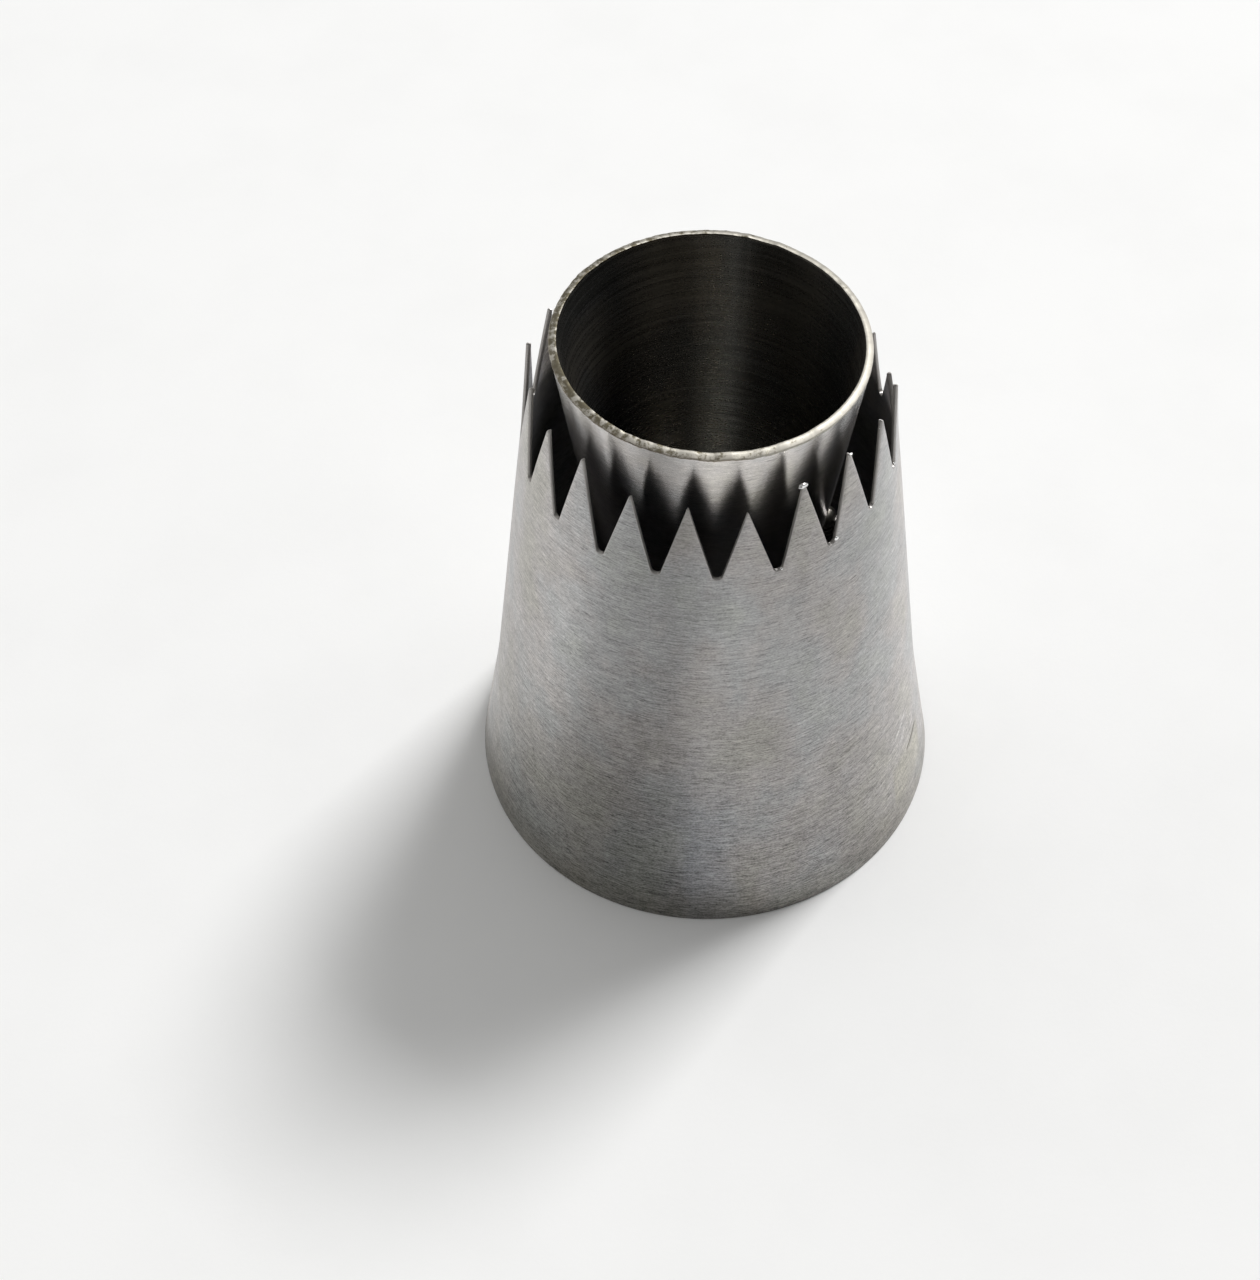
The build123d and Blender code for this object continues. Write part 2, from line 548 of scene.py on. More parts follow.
# The rim: torn, sooty and flecked with brown at the left and back, cleaner at the right. Its
# bright flecks are painted highlights, and the painted shade under its lip fades out at the right.
rimWearAndPaintedLight = {
    "unshaded": (-0.001, 0.006),
    "unshadedColor": shade(0.44, 0.42, 0.37),
    "torn": 0.50,
    "tornSlope": 9.0,           # how much of it a metre to the right takes away
    "fleckGrain": (1500.0, 1500.0, 1500.0),
    "fleckEdge": (0.99, 1.14),
    "fleckColor": shade(0.13, 0.115, 0.08),
    "shineGrain": (1700.0, 1700.0, 1700.0),
    "shineEdge": (0.56, 0.68),
    "shineColor": shade(0.70, 0.67, 0.56),
    "sootGrain": (1900.0, 1900.0, 1900.0),
    "sootSlope": 5.0,
    "sootEdge": (0.56, 0.70),
    "sootShare": 0.6,
}


# Towards the right the painted shade under the lip gives way to plain steel.
def rimLipShadeFade(recipe, patch, setup=rimWearAndPaintedLight):
    unshaded = recipe.along(0).between(*setup["unshaded"])
    return recipe.blend(unshaded, patch, setup["unshadedColor"])


# Bright flecks on the rim's cut are painted highlights; the dark brown flecks are its own.
def tornRimWithGlints(recipe, rawCut, setup=rimWearAndPaintedLight):
    fleck = recipe.grain(setup["fleckGrain"], detail=4.0, rough=0.7)
    shine = recipe.grain(setup["shineGrain"], detail=3.0, rough=0.65).between(*setup["shineEdge"])
    torn = setup["torn"] - recipe.along(0) * setup["tornSlope"]
    lit = recipe.blend(shine * torn, rawCut, setup["shineColor"])
    return recipe.blend((fleck + torn).between(*setup["fleckEdge"]), lit, setup["fleckColor"])


def rimGrime(recipe, setup=rimWearAndPaintedLight):
    soot = recipe.grain(setup["sootGrain"], detail=4.0, rough=0.7)
    sooty = (soot - recipe.along(0) * setup["sootSlope"]).between(*setup["sootEdge"])
    return sooty * setup["sootShare"]


# The four tones lie in cloudy patches, and rawCut is the color of a cut edge.
shellLook = {
    "green": shade(0.44, 0.445, 0.425),
    "cool": shade(0.435, 0.435, 0.435),
    "rosy": shade(0.46, 0.44, 0.43),
    "warm": shade(0.45, 0.435, 0.405),
    "rawCut": shade(0.52, 0.50, 0.48),
    "trimming": 0.8,        # share of a cut edge that shows its own color
    "roughness": 0.34,
    "anisotropy": 0.8,
    "hair": (520.0, 520.0, 9500.0),
    "scratch": (1500.0, 1500.0, 9000.0),
    "speck": (5200.0, 5200.0, 9500.0),
    "drift": 0.0005,        # metres that the scratches wander up and down
    "streaks": 4.0,
    "deeper": 0.55,         # how much stronger the streaks are low down
    "mottle": 0.32,
    "bands": 0.5,
    "nicks": 0.3,
    "wear": 1.0,
    "relief": 0.45,
    "marksAndPaintedLight": shellPaintedLightAndMarks,
    "nonMetal": shellDentMask,
    "torn": None,
}
# The bore's tones are a darker copy of the shell's: painted shade between the shell and the cone.
boreLook = dict(
    shellLook,
    green=shade(0.205, 0.21, 0.20),
    cool=shade(0.20, 0.20, 0.21),
    rosy=shade(0.22, 0.21, 0.205),
    warm=shade(0.215, 0.20, 0.185),
    roughness=0.42,
    marksAndPaintedLight=paintedBoreLight,
    nonMetal=None,
)
coneLook = dict(
    shellLook,
    green=shade(0.65, 0.66, 0.62),
    cool=shade(0.64, 0.64, 0.64),
    rosy=shade(0.67, 0.64, 0.62),
    warm=shade(0.67, 0.64, 0.58),
    roughness=0.18,
    wear=0.5,
    streaks=2.0,
    deeper=0.0,
    marksAndPaintedLight=None,
    nonMetal=None,
)
cupLook = dict(
    shellLook,
    green=shade(0.37, 0.37, 0.335),
    cool=shade(0.36, 0.36, 0.345),
    rosy=shade(0.385, 0.36, 0.325),
    warm=shade(0.39, 0.36, 0.305),
    roughness=0.27,
    anisotropy=0.87,
    hair=(60.0, 60.0, 6500.0),
    scratch=(110.0, 110.0, 4200.0),
    drift=0.0002,
    streaks=2.2,
    deeper=0.0,
    nicks=0.0,
    relief=0.2,
    marksAndPaintedLight=paintedCupLight,
    nonMetal=None,
)
# The rim's four tones are dark brown: painted shade in the line under its lip, at the left.
rimLook = dict(
    shellLook,
    green=shade(0.21, 0.20, 0.155),
    cool=shade(0.18, 0.165, 0.135),
    rosy=shade(0.23, 0.195, 0.155),
    warm=shade(0.25, 0.21, 0.15),
    rawCut=shade(0.43, 0.41, 0.365),
    trimming=1.0,
    roughness=0.42,
    anisotropy=0.0,
    torn=tornRimWithGlints,
    marksAndPaintedLight=rimLipShadeFade,
    nonMetal=rimGrime,
)
bridgeLook = dict(shellLook, anisotropy=0.0, roughness=0.4, relief=0.2, marksAndPaintedLight=None, nonMetal=None)
# Burrs are bare cut steel, made much lighter than other cut edges so that they glint: partly
# painted highlight.
burrLook = dict(
    bridgeLook,
    rawCut=shade(0.88, 0.88, 0.87),
    trimming=1.0,
    roughness=0.12,
)


beadLook = {
    "heatGrain": (420.0, 420.0, 420.0),
    "heatStops": [
        (0.34, shade(0.34, 0.34, 0.33)),
        (0.52, shade(0.33, 0.31, 0.27)),
        (0.64, shade(0.27, 0.25, 0.25)),
        (0.76, shade(0.22, 0.24, 0.27)),
    ],
    "sootGrain": (1500.0, 1500.0, 1500.0),
    "level": 0.75,
    "sootLevel": 0.5,
    "roughness": 0.26,
    "sootRoughness": 0.22,
    "relief": 0.4,
    "reliefDepth": 0.00004,
}


# Weld metal, with straw and blue heat tints.
def weldSteel(name, look):
    material, recipe = newMaterial(name)
    heat = recipe.grain(look["heatGrain"], detail=3.0, rough=0.6)
    soot = recipe.grain(look["sootGrain"], detail=3.0, rough=0.6)
    tinted = recipe.ramp(heat, look["heatStops"])
    recipe.surface({
        "Base Color": recipe.tint(tinted, look["level"] + soot * look["sootLevel"]),
        "Metallic": 1.0,
        "Roughness": look["roughness"] + soot * look["sootRoughness"],
        "Normal": recipe.bump(look["relief"], look["reliefDepth"], soot),
    })
    return material


shellSteel = spunSteel("shellSteel", shellLook)
boreSteel = spunSteel("boreSteel", boreLook)
coneSteel = spunSteel("coneSteel", coneLook)
cupSteel = spunSteel("cupSteel", cupLook)
rimSteel = spunSteel("rimSteel", rimLook)
bridgeSteel = spunSteel("bridgeSteel", bridgeLook)
burrSteel = spunSteel("burrSteel", burrLook)
beadSteel = weldSteel("beadSteel", beadLook)
print("finishes are mixed")


# Mesh helpers. Points are made in millimetres, and places are degrees from the front.

sharpAngle = math.radians(34)       # faces that meet more sharply than this show an edge


def spot(radius, place, height):
    turn = math.radians(place)
    return (radius * math.sin(turn), -radius * math.cos(turn), height)


# Rounds one corner of a path and returns the points of its arc.
def roundCorner(before, corner, after, radius, steps):
    corner = Vector(corner)
    inward = (Vector(before) - corner).normalized()
    onward = (Vector(after) - corner).normalized()
    half = inward.angle(onward) / 2
    centre = corner + (inward + onward).normalized() * radius / math.sin(half)
    start = corner + inward * radius / math.tan(half) - centre
    end = corner + onward * radius / math.tan(half) - centre
    sweep = start.angle_signed(end)
    return [centre + rotated(start, -sweep * step / steps) for step in range(steps + 1)]


def rotated(arm, angle):
    return Vector((
        arm.x * math.cos(angle) - arm.y * math.sin(angle),
        arm.x * math.sin(angle) + arm.y * math.cos(angle),
    ))


def evenly(low, high, count):
    return [low + (high - low) * step / count for step in range(count + 1)]


# Skins a closed ring of closed outlines, all with the same number of points.
def loopSkin(name, outlines, slotOfRow, materials, trimOfPoint=None):
    rows = len(outlines[0])
    points = [tuple(value * mm for value in point) for outline in outlines for point in outline]
    faces = []
    slots = []
    count = len(outlines)
    for column in range(count):
        following = (column + 1) % count
        for row in range(rows):
            nextRow = (row + 1) % rows
            faces.append((
                column * rows + row,
                following * rows + row,
                following * rows + nextRow,
                column * rows + nextRow,
            ))
            slots.append(slotOfRow(row))
    data = bpy.data.meshes.new(name)
    data.from_pydata(points, [], faces)
    for material in materials:
        data.materials.append(material)
    data.polygons.foreach_set("material_index", slots)
    if trimOfPoint:
        trim = data.attributes.new("trim", "FLOAT", "POINT")
        values = [trimOfPoint(row) for _ in range(count) for row in range(rows)]
        trim.data.foreach_set("value", values)
    data.shade_smooth()
    data.set_sharp_from_angle(angle=sharpAngle)
    piece = bpy.data.objects.new(name, data)
    bpy.context.scene.collection.objects.link(piece)
    return piece


def finishPiece(piece, slotName, *nodes):
    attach(piece, "root")
    if nodes:
        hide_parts(*nodes)
    return piece


# The toothed outer shell

shellSizes = {
    "sheet": 0.4,
    "mouthRadius": 21.5,
    "skirtHeight": 12.2,
    "skirtTopRadius": 19.35,
    "skirtBend": 75.0,
    "tipHeight": 50.0,
    "tipRingRadius": 14.48,
    "edgeBreak": 0.17,
    "teeth": 20,
    "rootHeight": 42.1,
    "crownSlant": 1.0,      # degrees that the row of teeth is cut out of square, low at the front
    "halfTip": 0.11,
    "tipRound": 0.13,
    "tipSteps": 8,
    "crestGap": 0.004,      # the tip's arc stops this far short of the tooth's middle
    "halfRoot": 0.3,
    "rootRound": 0.34,
    "rootSteps": 6,
    "flankSteps": 9,
    "outerRound": 0.12,
    "innerRound": 0.15,
    "short": {0: 1.5, 1: 0.15, 4: 0.6, 5: 4.0, 6: 3.1, 16: 0.3, 18: 0.9, 19: 0.9},
    "tall": {2: 0.2, 14: 0.4, 17: 0.3},
    "leaning": {6: 0.9},    # how far a tooth's tip leans to the front
    "bentOut": {3: 0.15, 4: 0.32, 5: 0.12, 6: 0.4, 14: 0.3, 16: -0.1},
    "bendPower": 1.5,
    "highRoots": {2: 0.3, 3: 0.6, 4: 0.5, 6: -1.0, 17: 0.3},
    "wobble": 0.035,
    "calmHeight": 3,        # the wobble fades out below this height
    # rows of points: their number in the skirt, the bend, the wall and the teeth, and the
    # heights between them
    "rows": (8, 14, 22, 6),
    "rowHeights": (9.0, 16.0, 40.0),
}
arcMiddle = 0.29            # how far the middle of a quarter round is from its faces, in radii


# Outer radius of the shell, with the soft bend at the top of its skirt.
def shellRadius(height, sizes=shellSizes):
    skirtSlope = (sizes["skirtTopRadius"] - sizes["mouthRadius"]) / sizes["skirtHeight"]
    upperRise = sizes["tipHeight"] - sizes["skirtHeight"]
    upperSlope = (sizes["tipRingRadius"] - sizes["skirtTopRadius"]) / upperRise
    reach = sizes["skirtBend"] * (upperSlope - skirtSlope) / 2
    along = (height - sizes["skirtHeight"]) / reach
    if abs(along) >= 1:
        slope = upperSlope if along > 0 else skirtSlope
        return sizes["skirtTopRadius"] + slope * reach * along
    low = sizes["skirtTopRadius"] - skirtSlope * reach
    eased = (along + 1) / 2
    return low + 2 * reach * (skirtSlope * eased + (upperSlope - skirtSlope) * eased * eased / 2)


# Half of one gap and half of the tooth beside it, from the gap's root to the tooth's tip.
def gapOutline(rootHeight, tip, lean, sizes=shellSizes):
    middle = shellRadius(tip) * math.sin(math.pi / sizes["teeth"]) + lean
    root = Vector((0, rootHeight))
    rootCorner = Vector((sizes["halfRoot"], rootHeight))
    tipCorner = Vector((middle - sizes["halfTip"], tip))
    crest = Vector((middle + sizes["halfTip"], tip))
    path = [root]
    path += roundCorner(root, rootCorner, tipCorner, sizes["rootRound"], sizes["rootSteps"])
    flankStart = path[-1]
    tipArc = roundCorner(rootCorner, tipCorner, crest, sizes["tipRound"], sizes["tipSteps"])
    steps = sizes["flankSteps"]
    path += [flankStart.lerp(tipArc[0], step / steps) for step in range(1, steps)]
    path += [point for point in tipArc if point.x < middle - sizes["crestGap"]]
    path.append(Vector((middle, tip)))
    return path


# How far the slanted crown stands above its middle height at a place.
def crownRise(place, sizes=shellSizes):
    slant = math.tan(math.radians(sizes["crownSlant"]))
    return -sizes["tipRingRadius"] * math.cos(math.radians(place)) * slant


# The same outline, drawn back into the metal.
def drawnBack(path, distance):
    result = []
    for index, point in enumerate(path):
        before = path[max(index - 1, 0)]
        after = path[min(index + 1, len(path) - 1)]
        along = (after - before).normalized()
        result.append(point + distance * Vector((along.y, -along.x)))
    result[0].x = 0
    result[-1].x = path[-1].x
    return result


wobbleSetup = {"round": 1.6, "up": 0.07}        # how quickly it changes round and up the wall


# How far the hand-spun wall stands off its true cone, in millimetres.
def wobble(place, height, amount, setup=wobbleSetup):
    turn = math.radians(place)
    reach = setup["round"]
    where = Vector((reach * math.sin(turn), reach * math.cos(turn), height * setup["up"]))
    return amount * noise.noise(where)


# Each column of the shell runs up the bore, over the cut edge and down the outer face.
# Its traces are points of the gap's outline, drawn back by the rounding of the edge.
def shellColumn(gapPlace, side, bent, traces, sizes=shellSizes):
    cut, boreCut, boreMiddle, rollMiddle, outerCut = traces
    sheet = sizes["sheet"]
    low = sizes["edgeBreak"]
    toothHeight = sizes["tipHeight"] - sizes["rootHeight"]

    def stand(point, depth, height=None):
        sine = min(point.x / (shellRadius(point.y) - depth), 1.0)
        turn = gapPlace + side * math.degrees(math.asin(sine))
        level = point.y if height is None else height
        off = wobble(turn, level, sizes["wobble"] * min(1.0, level / sizes["calmHeight"]))
        off += bent * max(0.0, (level - sizes["rootHeight"]) / toothHeight) ** sizes["bendPower"]
        return spot(shellRadius(level) - depth + off, turn, level)

    skirtRows, bendRows, wallRows, toothRows = sizes["rows"]
    bendFoot, bendHead, wallHead = sizes["rowHeights"]
    straight = evenly(low, bendFoot, skirtRows)[:-1] + evenly(bendFoot, bendHead, bendRows)[:-1]
    straight += evenly(bendHead, wallHead, wallRows)

    def heightsTo(top):
        return straight + evenly(wallHead, top, toothRows)[1:]

    bore = [stand(boreCut, sheet, height) for height in heightsTo(boreCut.y)]
    outer = [stand(outerCut, 0.0, height) for height in reversed(heightsTo(outerCut.y))]
    edge = [
        stand(boreMiddle, sheet - arcMiddle * sizes["innerRound"]),
        stand(cut, sheet - sizes["innerRound"]),
        stand(cut, sizes["outerRound"]),
        stand(rollMiddle, arcMiddle * sizes["outerRound"]),
    ]
    foot = []
    for angle in (30, 60, 90, 90, 60, 30):
        sunk = low * (1 - math.cos(math.radians(angle)))
        depth = sunk if len(foot) < 3 else sheet - sunk
        foot.append(stand(outerCut, depth, low * (1 - math.sin(math.radians(angle)))))
    return bore + edge + outer + foot, len(bore), len(edge)


def buildShell(sizes=shellSizes):
    pitch = 360 / sizes["teeth"]
    outlines = []
    for gap in range(sizes["teeth"]):
        rootHeight = sizes["rootHeight"] + crownRise(gap * pitch) + sizes["highRoots"].get(gap, 0)
        halves = []
        for side, tooth in ((-1, (gap - 1) % sizes["teeth"]), (1, gap)):
            tip = sizes["tipHeight"] + crownRise((tooth + 0.5) * pitch)
            tip += sizes["tall"].get(tooth, 0) - sizes["short"].get(tooth, 0)
            cut = gapOutline(rootHeight, tip, -side * sizes["leaning"].get(tooth, 0))
            boreCut = drawnBack(cut, sizes["innerRound"])
            boreMiddle = drawnBack(cut, arcMiddle * sizes["innerRound"])
            rollMiddle = drawnBack(cut, arcMiddle * sizes["outerRound"])
            outerCut = drawnBack(cut, sizes["outerRound"])
            traces = zip(cut, boreCut, boreMiddle, rollMiddle, outerCut)
            bent = sizes["bentOut"].get(tooth, 0)
            halves.append([shellColumn(gap * pitch, side, bent, points) for points in traces])
        leftHalf, rightHalf = halves
        outlines += reversed(leftHalf[1:])
        outlines += rightHalf[:-1]
    columns = [column for column, _, _ in outlines]
    boreRows = outlines[0][1]
    edgeRows = outlines[0][2]
    lastOuter = 2 * boreRows + edgeRows

    def slotOfRow(row):
        return 0 if row < boreRows - 1 or row >= lastOuter else 1

    def trimOfPoint(row):
        return 1.0 if boreRows <= row < boreRows + edgeRows else 0.0

    materials = [boreSteel, shellSteel, burrSteel]
    return loopSkin("toothedShell", columns, slotOfRow, materials, trimOfPoint)


# Curled burrs that the punch left, by height and place, with their sizes in millimetres.
burrSizes = [
    {"height": 49.6, "place": 26.6, "size": (0.42, 0.16, 0.22)},
    {"height": 41.93, "place": 19.1, "size": (0.14, 0.12, 0.12)},
    {"height": 42.5, "place": 38.0, "size": (0.22, 0.16, 0.22)},
    {"height": 42.62, "place": 73.0, "size": (0.13, 0.12, 0.12)},
    {"height": 49.9, "place": 45.4, "size": (0.22, 0.12, 0.10)},
    {"height": 49.2, "place": 62.4, "size": (0.14, 0.12, 0.14)},
]
burrSetup = {
    "sunk": 0.1,            # millimetres that a burr's middle lies in the wall
    "lumps": 0.35,
    "lumpScale": 1.7,
    "lumpShift": 900,       # moves the noise along from burr to burr
    "subdivisions": 3,
    "materialSlot": 2,
}


def addBurrs(shell, burrs=burrSizes, setup=burrSetup):
    mesh = bmesh.new()
    mesh.from_mesh(shell.data)
    trim = mesh.verts.layers.float["trim"]
    for burr in burrs:
        radius = shellRadius(burr["height"]) - setup["sunk"]
        centre = Vector(spot(radius, burr["place"], burr["height"])) * mm
        turned = Matrix.Rotation(math.radians(burr["place"]), 3, "Z")
        made = bmesh.ops.create_icosphere(mesh, subdivisions=setup["subdivisions"], radius=1.0)
        for vertex in made["verts"]:
            where = vertex.co * setup["lumpScale"] + centre * setup["lumpShift"]
            lump = 1 + setup["lumps"] * noise.noise(where)
            stretched = Vector([value * size for value, size in zip(vertex.co, burr["size"])])
            stretched = stretched * lump * mm
            stretched.rotate(turned)
            vertex.co = centre + stretched
            vertex[trim] = 1.0
        for face in {face for vertex in made["verts"] for face in vertex.link_faces}:
            face.material_index = setup["materialSlot"]
            face.smooth = True
    mesh.to_mesh(shell.data)
    mesh.free()
    return shell


toothedShell = finishPiece(addBurrs(buildShell()), "shell_steel", "outer_shell")
print("shell is skinned,", len(toothedShell.data.vertices), "points")


# The inner cone, with a raw, uneven rim

coneSizes = {
    "sheet": 0.6,
    "rimHeight": 53.1,
    "rimRadius": 12.64,
    "rimSlant": 1.8,
    "ahead": 0.5,           # the cone is welded in this far forward of the middle
    "footHeight": 24.0,
    "footRadius": 8.71,
    "noseHeight": 13.2,
    "noseFlat": 1.6,
    "noseBend": 7.0,
    "noseRound": 1.5,
    "noseRings": (0.02, 0.5),       # radii of the first rings of points
    "roundSteps": 6,
    "flankSteps": 8,
    "bendSteps": 8,
    "wallSteps": 150,
    "columns": 540,
    "groove": 0.014,
    "grooveStart": (0.3, 0.7),      # where in the noise the spun grooves are read
    "grooveScale": 4.1,
    "calmRadius": 3,        # they fade out nearer to the axis than this
    "wobble": 0.03,
    "wobbleTurn": 40,       # degrees, so that it doesn't follow the shell's
    # depths below the rim of the rings left by the spinning tool, and how deep each is cut
    "rings": {
        13.9: 0.02,
        15.4: 0.03,
        16.3: 0.02,
        17.2: 0.03,
        18.1: 0.02,
        18.6: 0.05,
        19.4: 0.03,
        20.6: 0.03,
    },
    "ringWidth": 0.13,
}
rimSizes = {
    "leastTorn": 0.35,
    "cleanTurn": 10,        # degrees past the right side at which it's cleanest
    "brightPlace": 45,
    "chips": 0.10,
    "chipScale": 9,
    "chipOctaves": (0.8, 2.2, 4),   # how fast they weaken, how fast they shrink, how many
    "frayScale": 31,
    "frayOctaves": (0.6, 2.1, 3),
    "lip": 0.04,
    "lipScale": 23,
    "chamfer": 0.17,
    "frayedChamfer": 0.10,
    "brightChamfer": 0.09,
    # how far below the chamfer the last rows of the wall stand, counted from the end
    "wallRows": {-3: 0.22, -2: 0.13, -1: 0.05},
}


# Outer face of the cone from its nose to its rim, as (radius, height) points.
def coneLine(sizes=coneSizes):
    flat = (sizes["noseFlat"], sizes["noseHeight"])
    foot = (sizes["footRadius"], sizes["footHeight"])
    rim = (sizes["rimRadius"], sizes["rimHeight"])
    nose = (0, sizes["noseHeight"])
    line = [Vector((radius, sizes["noseHeight"])) for radius in sizes["noseRings"]]
    line += roundCorner(nose, flat, foot, sizes["noseRound"], sizes["roundSteps"])
    bend = roundCorner(flat, foot, rim, sizes["noseBend"], sizes["bendSteps"])
    line += evenSteps(line[-1], bend[0], sizes["flankSteps"])[:-1]
    line += bend
    line += evenSteps(bend[-1], Vector(rim), sizes["wallSteps"])
    return line


def evenSteps(start, end, steps):
    return [start.lerp(end, step / steps) for step in range(1, steps + 1)]


# The rim is most torn at the left and cleanest at the right.
def ruggedness(place, rim=rimSizes):
    torn = 0.5 - 0.5 * math.sin(math.radians(place - rim["cleanTurn"]))
    return rim["leastTorn"] + (1.0 - rim["leastTorn"]) * torn


# Its chamfer is widest and catches most light at the front right.
def bright(place, rim=rimSizes):
    return max(0.0, math.cos(math.radians(place - rim["brightPlace"]))) ** 2


def buildCone(sizes=coneSizes, rim=rimSizes):
    line = coneLine()
    top = line[-1]
    sheet = sizes["sheet"]
    pole = sizes["noseRings"][0]

    def stand(radius, place, height):
        east, north, level = spot(radius, place, height)
        return (east, north - sizes["ahead"], level)

    wallSlope = (top.x - line[-2].x) / (top.y - line[-2].y)
    lean = (top - line[-2]).normalized()
    across = Vector((-lean.y, lean.x))
    columns = []
    for index in range(sizes["columns"]):
        place = 360 * index / sizes["columns"]
        turn = math.radians(place)
        ringPlace = Vector((math.sin(turn), -math.cos(turn), 0))
        rugged = ruggedness(place)
        slant = -top.x * math.sin(turn) * math.tan(math.radians(sizes["rimSlant"]))
        chip = noise.fractal(ringPlace * rim["chipScale"], *rim["chipOctaves"])
        lift = slant + chip * rim["chips"] * rugged
        fray = noise.fractal(ringPlace * rim["frayScale"], *rim["frayOctaves"])
        wide = rim["chamfer"] + rim["frayedChamfer"] * fray * rugged
        wide += rim["brightChamfer"] * bright(place)
        lip = rim["lip"] * rugged * (1 + noise.noise(ringPlace * rim["lipScale"]))
        outer = []
        inner = []
        for number, point in enumerate(line):
            before = line[max(number - 1, 0)]
            after = line[min(number + 1, len(line) - 1)]
            along = (after - before).normalized()
            side = Vector((-along.y, along.x))
            share = max(0.0, (point.y - sizes["footHeight"]) / (top.y - sizes["footHeight"])) ** 2
            raised = point + Vector((0, lift * share))
            where = Vector((*sizes["grooveStart"], point.y * sizes["grooveScale"]))
            cut = sizes["groove"] * noise.noise(where) + spinRing(point.y)
            thick = sheet + cut * min(1.0, point.x / sizes["calmRadius"])
            off = 0.0
            if number > 2:
                off = wobble(place + sizes["wobbleTurn"], point.y, sizes["wobble"])
            behind = raised + side * thick
            outer.append(stand(raised.x + off, place, raised.y))
            inner.append(stand(max(behind.x + off, pole), place, behind.y))
        for number, drop in rim["wallRows"].items():
            drop += wide
            outer[number] = stand(raised.x + off - wallSlope * drop, place, raised.y - drop)
        crest = raised + across * ((0.5 + 0.2 * fray * rugged) * sheet)
        middle = raised + across * (0.8 * sheet)
        brink = raised + across * sheet
        edge = [
            stand(raised.x + off + lip - 0.05 * wide, place, raised.y - wide),      # chamfer's foot
            stand(raised.x + off + 0.4 * lip - 0.03, place, raised.y - 0.42 * wide),
            stand(crest.x + off, place, crest.y + 0.02 * fray),
            stand(middle.x + off, place, middle.y + 0.01),
            stand(brink.x + off, place, brink.y - 0.02 - 0.03 * abs(fray)),     # inner brink
        ]
        inner[-1] = stand(brink.x + off, place, brink.y - 0.1)
        columns.append(outer + edge + list(reversed(inner)))
    rows = len(line)

    # the outer wall, the rim with the last of the wall, and the cup
    def slotOfRow(row):
        if row < rows - 2:
            return 0
        if row <= rows + 5:
            return 1
        return 2

    # the raw cut shows fully from the middle of the chamfer to the brink
    def trimOfPoint(row):
        return {0: 0.15, 1: 0.8, 2: 1.0, 3: 1.0, 4: 1.0}.get(row - rows, 0.0)

    materials = [coneSteel, rimSteel, cupSteel]
    return loopSkin("spunCone", columns, slotOfRow, materials, trimOfPoint)


# What the tool's rings take off the inside of the cone at a height.
def spinRing(height, sizes=coneSizes):
    depth = sizes["rimHeight"] - height
    total = 0.0
    for at, cut in sizes["rings"].items():
        total += cut * math.exp(-((depth - at) / sizes["ringWidth"]) ** 2)
    return -total


spunCone = finishPiece(buildCone(), "cone_steel", "inner_cone")
print("cone is skinned,", len(spunCone.data.vertices), "points")


# Bridges keep their CAD solids, and each weld is a rippled bead round a bridge's end

bridgeSizes = {
    "places": {"front_right": 72, "rear": 192, "front_left": 312},
    "sheet": 0.8,
    "width": 7.0,
    "round": 0.25,
    "middle": 31.4,
}
beadSizes = {
    "reach": 0.72,
    "sunk": 0.1,            # how far its foot goes into the wall
    "ripples": 26,
    "ripple": 0.09,
    "lumps": 0.1,
    "lumpLength": 9,
    "bulge": 1.25,          # power of the profile's sine: 1 is a quarter round
    "inset": 0.05,          # how far it goes into the bridge
    "insetCrest": 0.96,
    "steps": 156,
    "profile": 7,
}


# Outline of a bridge's end, as points with the direction that faces away from it.
def bridgeEnd(steps, sizes=bridgeSizes):
    halfThick = sizes["sheet"] / 2 - sizes["round"]
    halfTall = sizes["width"] / 2 - sizes["round"]
    around = []
    straight = 2 * halfTall
    turn = sizes["round"] * math.pi + 2 * halfThick
    total = 2 * (straight + turn)
    for step in range(steps):
        walked = total * step / steps
        mirrored = walked >= total / 2
        walked = walked % (total / 2)
        if walked < straight:
            point = Vector((halfThick + sizes["round"], walked - halfTall))
            away = Vector((1, 0))
        else:
            angle = math.pi * (walked - straight) / turn
            away = Vector((math.cos(angle), math.sin(angle)))
            point = Vector((halfThick * math.cos(angle), halfTall)) + sizes["round"] * away
        if mirrored:
            point = -point
            away = -away
        around.append((point, away))
    return around


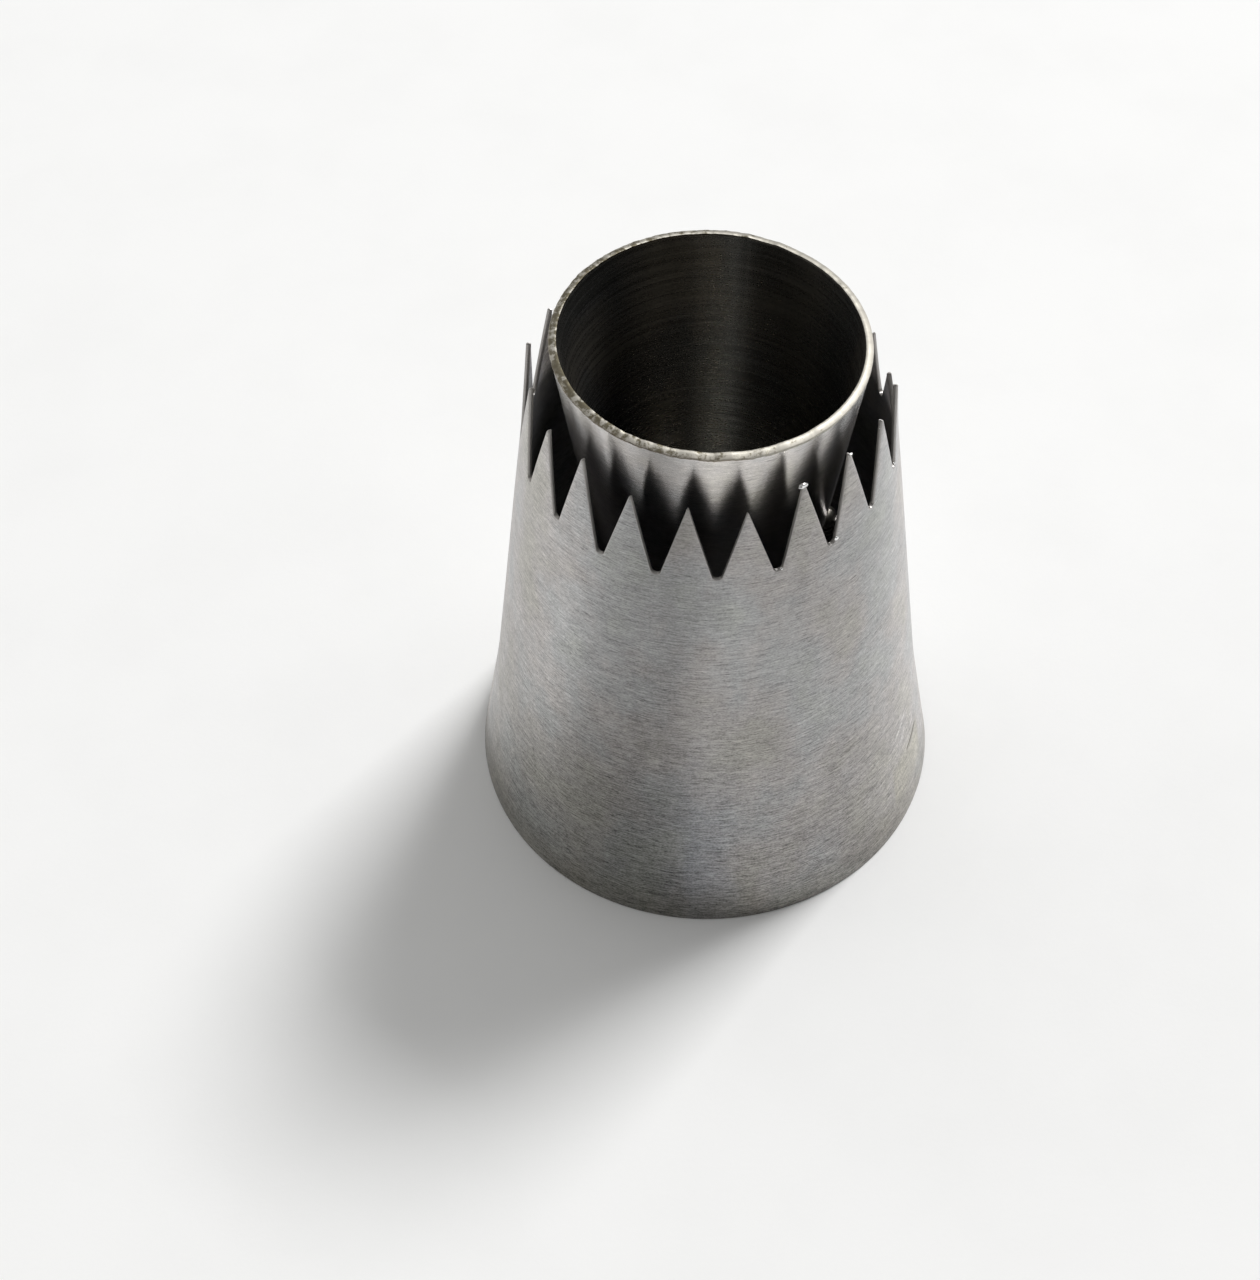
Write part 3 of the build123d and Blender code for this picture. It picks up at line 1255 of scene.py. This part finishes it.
def buildBead(name, place, onShell, sizes=beadSizes):
    height = bridgeSizes["middle"]
    if onShell:
        slope = (shellRadius(height + 1) - shellRadius(height - 1)) / 2
        radius = shellRadius(height) - shellSizes["sheet"] * math.hypot(1, slope)
        facing = -1
    else:
        slope = coneSizes["rimRadius"] - coneSizes["footRadius"]
        slope /= coneSizes["rimHeight"] - coneSizes["footHeight"]
        radius = coneSizes["rimRadius"] + (height - coneSizes["rimHeight"]) * slope
        radius += coneSizes["ahead"] * math.cos(math.radians(place))
        facing = 1
    origin = Vector(spot(radius, place, height))
    sideways = Vector(spot(1, place + 90, 0))
    upward = (Vector(spot(1, place, 0)) * slope + Vector((0, 0, 1))).normalized()
    normal = facing * (Vector(spot(1, place, 0)) - Vector((0, 0, slope))).normalized()
    outlines = []
    for index, (point, away) in enumerate(bridgeEnd(sizes["steps"])):
        phase = (sizes["ripples"] * index / sizes["steps"]) % 1.0
        swell = 1 + sizes["ripple"] * (1 - 2 * phase)
        where = origin + Vector((index / sizes["lumpLength"], 0, 0))
        reach = sizes["reach"] * (swell + sizes["lumps"] * noise.noise(where))
        outline = []
        for step in range(sizes["profile"] + 1):
            angle = math.pi / 2 * step / sizes["profile"]
            outward = reach * math.cos(angle) ** sizes["bulge"]
            lifted = reach * math.sin(angle) ** sizes["bulge"]
            outline.append((outward, lifted - (sizes["sunk"] if step == 0 else 0)))
        outline.append((-sizes["inset"], reach * sizes["insetCrest"]))
        outline.append((-sizes["inset"], -sizes["sunk"]))
        ring = []
        for outward, lifted in outline:
            flat = point + away * outward
            ring.append(tuple(origin + sideways * flat.x + upward * flat.y + normal * lifted))
        outlines.append(ring)
    return loopSkin(name, outlines, lambda row: 0, [beadSteel])


for bridgeName, bridgePlace in bridgeSizes["places"].items():
    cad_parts["bridge_" + bridgeName].material_slots[0].material = bridgeSteel
    for endName, onShell in (("inner", False), ("outer", True)):
        bead = buildBead(f"bead_{bridgeName}_{endName}", bridgePlace, onShell)
        finishPiece(bead, "weld_metal", f"weld_{bridgeName}_{endName}")
print("bridges and beads are in place")

bpy.context.scene.view_settings.view_transform = "Standard"
